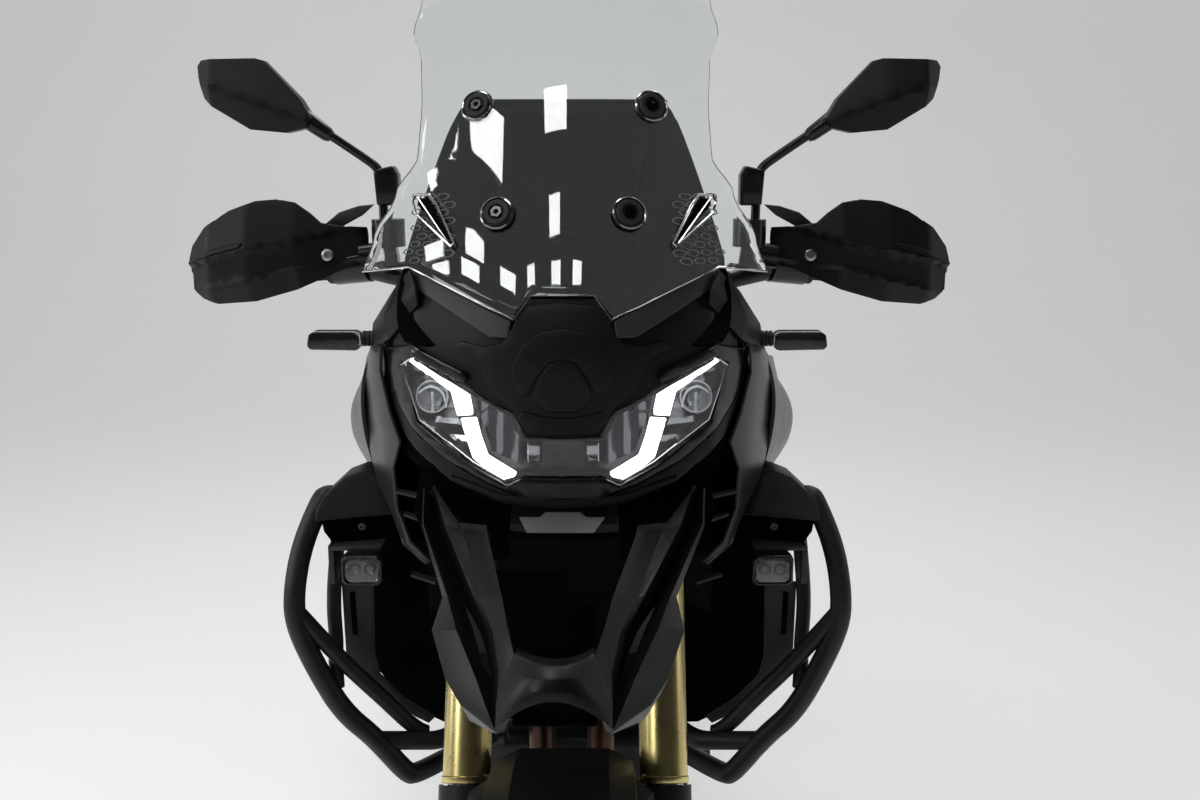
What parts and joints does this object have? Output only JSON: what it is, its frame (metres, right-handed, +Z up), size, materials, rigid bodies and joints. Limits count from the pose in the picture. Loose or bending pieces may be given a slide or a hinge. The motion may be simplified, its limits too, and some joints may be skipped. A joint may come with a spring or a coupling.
{
  "type": "adventure motorcycle",
  "caption": "Adventure motorcycle on its centre stand, with a tall clear screen, paired headlamps, a pronged beak, handguards, crash bars with lamps and wire wheels.",
  "frame": {"origin": "on the ground, under the middle of the overall length, in the plane of symmetry", "axes": "+X to the rider's left, +Y to the rear along the machine, +Z up"},
  "size_m": [0.964, 2.27, 1.535],
  "materials": {
    "black_plastic": "fine-grained moulded, matt",
    "satin_plastic": "smooth, satin",
    "grey_plastic": "painted, matt",
    "tank_paint": "satin paint",
    "frame_paint": "powder coat",
    "bar_paint": "textured powder coat",
    "engine_metal": "dark cast, painted",
    "cast_alloy": "cast, dark anodised",
    "bare_alloy": "brushed",
    "gold_anodised": "gold anodised, polished",
    "chrome": "polished",
    "steel": "machined",
    "exhaust": "heat-tinted",
    "silencer": "brushed",
    "tyre": "rubber",
    "rubber": "moulded",
    "spokes": "black anodised",
    "lens": "clear, polished",
    "screen": "clear, lightly tinted",
    "red_lens": "red, moulded",
    "smoked_lens": "smoked grey",
    "seat": "grained vinyl"
  },
  "bodies": {
    "chassis": {"main_frame": "frame_paint", "subframe": "frame_paint", "side_stand_bracket": "frame_paint", "pivot_bolt": "steel", "swingarm": "cast_alloy", "rear_shock": "steel", "rear_caliper": "cast_alloy", "drive_chain": "steel", "engine": "engine_metal", "exhaust_headers": "exhaust", "silencer": "silencer", "radiator": "frame_paint", "skid_plate": "bare_alloy", "fuel_tank": "tank_paint", "side_fairings": "black_plastic", "nose_fairing": "black_plastic", "beak": "black_plastic", "headlight_housing": "satin_plastic", "headlight_lens": "lens", "windscreen": "screen", "fairing_stay": "frame_paint", "screen_bracket": "frame_paint", "instrument_display": "satin_plastic", "crash_bars": "bar_paint", "bar_shields": "frame_paint", "fog_lamps": "satin_plastic", "indicators": "smoked_lens", "rider_seat": "seat", "pillion_seat": "seat", "tail_fairing": "black_plastic", "rear_rack": "bar_paint", "tail_lamp": "red_lens", "rear_mudguard": "black_plastic", "footpegs": "cast_alloy"},
    "steering": {"fork_outer_tubes": "gold_anodised", "fork_lower_legs": "chrome", "front_axle": "steel", "yokes": "cast_alloy", "handlebar": "frame_paint", "grips": "rubber", "bar_controls": "satin_plastic", "handguards": "black_plastic", "mirrors": "satin_plastic", "front_mudguard": "black_plastic", "front_calipers": "cast_alloy"},
    "front_wheel": {"front_tyre": "tyre", "front_wire_wheel": "spokes", "front_discs": "steel"},
    "rear_wheel": {"rear_tyre": "tyre", "rear_wire_wheel": "spokes", "rear_disc": "steel", "rear_sprocket": "steel"},
    "centre_stand_arm": {"centre_stand": "frame_paint"},
    "side_stand_arm": {"side_stand": "frame_paint"},
    "filler_cap": {"fuel_cap": "bare_alloy"}
  },
  "joints": [
    {"name": "steering_turn", "type": "hinge", "parent": "chassis", "child": "steering", "pos_m": [0, -0.39438, 0.97571], "axis": [0, 0.4617, 0.887], "range_deg": [-38, 38]},
    {"name": "front_wheel_spin", "type": "hinge", "parent": "steering", "child": "front_wheel", "pos_m": [0, -0.7873, 0.3477], "axis": [1, 0, 0], "continuous": true},
    {"name": "rear_wheel_spin", "type": "hinge", "parent": "chassis", "child": "rear_wheel", "pos_m": [0, 0.7727, 0.3409], "axis": [1, 0, 0], "continuous": true},
    {"name": "centre_stand_fold", "type": "hinge", "parent": "chassis", "child": "centre_stand_arm", "pos_m": [0, 0.2427, 0.285], "axis": [1, 0, 0], "range_deg": [0, 78]},
    {"name": "side_stand_swing", "type": "hinge", "parent": "chassis", "child": "side_stand_arm", "pos_m": [0.168, 0.0927, 0.262], "axis": [-0.9039, 0.0936, -0.4173], "range_deg": [0, 99]},
    {"name": "filler_cap_open", "type": "hinge", "parent": "chassis", "child": "filler_cap", "pos_m": [0, -0.1053, 1.0893], "axis": [-1, 0, 0], "range_deg": [0, 95]}
  ]
}
